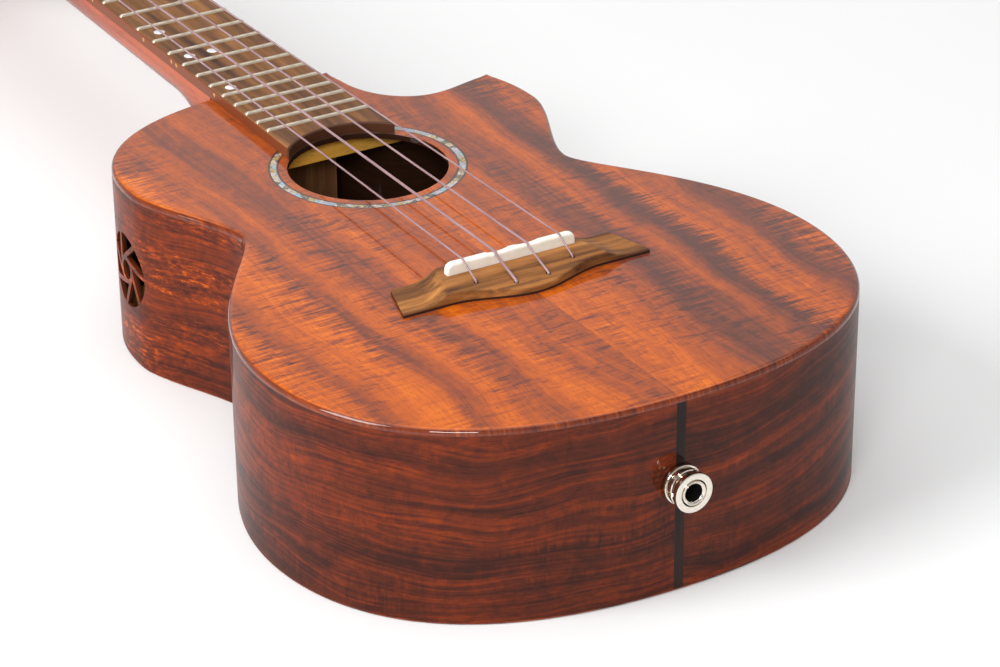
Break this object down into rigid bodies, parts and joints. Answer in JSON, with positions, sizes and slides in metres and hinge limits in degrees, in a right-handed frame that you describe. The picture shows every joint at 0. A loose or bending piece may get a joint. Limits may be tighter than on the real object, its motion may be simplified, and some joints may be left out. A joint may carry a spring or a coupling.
{
  "type": "ukulele",
  "caption": "Tenor ukulele with a cutaway body, a round soundhole, a fretwork sound port in the side, a string-through bridge, geared tuners and an end jack.",
  "frame": {"origin": "outer face of the back, straight below the saddle's middle", "axes": "+X to the treble side, +Y from the tail to the head along the strings, +Z square to the soundboard, out of it; the back slopes by 0.94 degrees"},
  "size_m": [0.2272, 0.6858, 0.0871],
  "materials": {
    "koa_top": "gloss lacquer",
    "koa_sides_back": "gloss lacquer",
    "shell": "polished shell",
    "black_wood": "gloss lacquer",
    "inner_wood": "bare, sanded",
    "neck_wood": "gloss lacquer",
    "board_wood": "oiled",
    "bridge_wood": "oiled",
    "fret_metal": "polished",
    "bone": "polished bone",
    "string": "smooth nylon",
    "nickel": "polished nickel plate"
  },
  "bodies": {
    "instrument": {"soundboard": "koa_top", "rosette": "shell", "side_bass": "koa_sides_back", "side_treble": "koa_sides_back", "side_cutaway": "koa_sides_back", "end_graft_upper": "black_wood", "end_graft_lower": "black_wood", "back_plate": "koa_sides_back", "lining_top": "inner_wood", "lining_back": "inner_wood", "neck_block": "inner_wood", "tail_block": "inner_wood", "upper_brace": "inner_wood", "lower_brace": "inner_wood", "bridge_plate": "inner_wood", "back_brace_upper": "inner_wood", "back_brace_lower": "inner_wood", "jack_barrel": "nickel", "jack_collar": "nickel", "neck": "neck_wood", "head_veneer": "black_wood", "fretboard": "board_wood", "fret_01": "fret_metal", "fret_02": "fret_metal", "fret_03": "fret_metal", "fret_04": "fret_metal", "fret_05": "fret_metal", "fret_06": "fret_metal", "fret_07": "fret_metal", "fret_08": "fret_metal", "fret_09": "fret_metal", "fret_10": "fret_metal", "fret_11": "fret_metal", "fret_12": "fret_metal", "fret_13": "fret_metal", "fret_14": "fret_metal", "fret_15": "fret_metal", "fret_16": "fret_metal", "fret_17": "fret_metal", "fret_18": "fret_metal", "fret_19": "fret_metal", "nut": "bone", "bridge": "bridge_wood", "saddle": "bone", "string_g": "string", "string_c": "string", "string_e": "string", "string_a": "string", "gearbox_g": "nickel", "gearbox_c": "nickel", "gearbox_e": "nickel", "gearbox_a": "nickel"},
    "tuner_button_g": {"button_g": "nickel"},
    "tuner_post_g": {"post_g": "nickel"},
    "tuner_button_c": {"button_c": "nickel"},
    "tuner_post_c": {"post_c": "nickel"},
    "tuner_button_e": {"button_e": "nickel"},
    "tuner_post_e": {"post_e": "nickel"},
    "tuner_button_a": {"button_a": "nickel"},
    "tuner_post_a": {"post_a": "nickel"}
  },
  "joints": [
    {"name": "button_g_turn", "type": "hinge", "parent": "instrument", "child": "tuner_button_g", "pos_m": [-0.03, 0.47367, 0.04684], "axis": [-1, 0, 0], "continuous": true},
    {"name": "post_g_turn", "type": "hinge", "parent": "instrument", "child": "tuner_post_g", "pos_m": [-0.018, 0.47758, 0.06523], "axis": [0, 0.2079, 0.9781], "continuous": true},
    {"name": "button_c_turn", "type": "hinge", "parent": "instrument", "child": "tuner_button_c", "pos_m": [-0.03, 0.52258, 0.03645], "axis": [-1, 0, 0], "continuous": true},
    {"name": "post_c_turn", "type": "hinge", "parent": "instrument", "child": "tuner_post_c", "pos_m": [-0.018, 0.52649, 0.05484], "axis": [0, 0.2079, 0.9781], "continuous": true},
    {"name": "button_e_turn", "type": "hinge", "parent": "instrument", "child": "tuner_button_e", "pos_m": [0.03, 0.52258, 0.03645], "axis": [1, 0, 0], "continuous": true},
    {"name": "post_e_turn", "type": "hinge", "parent": "instrument", "child": "tuner_post_e", "pos_m": [0.018, 0.52649, 0.05484], "axis": [0, 0.2079, 0.9781], "continuous": true},
    {"name": "button_a_turn", "type": "hinge", "parent": "instrument", "child": "tuner_button_a", "pos_m": [0.03, 0.47367, 0.04684], "axis": [1, 0, 0], "continuous": true},
    {"name": "post_a_turn", "type": "hinge", "parent": "instrument", "child": "tuner_post_a", "pos_m": [0.018, 0.47758, 0.06523], "axis": [0, 0.2079, 0.9781], "continuous": true}
  ],
  "couplings": [
    {"joint": "post_g_turn", "follows": "button_g_turn", "ratio": 0.055556},
    {"joint": "post_c_turn", "follows": "button_c_turn", "ratio": 0.055556},
    {"joint": "post_e_turn", "follows": "button_e_turn", "ratio": -0.055556},
    {"joint": "post_a_turn", "follows": "button_a_turn", "ratio": -0.055556}
  ]
}
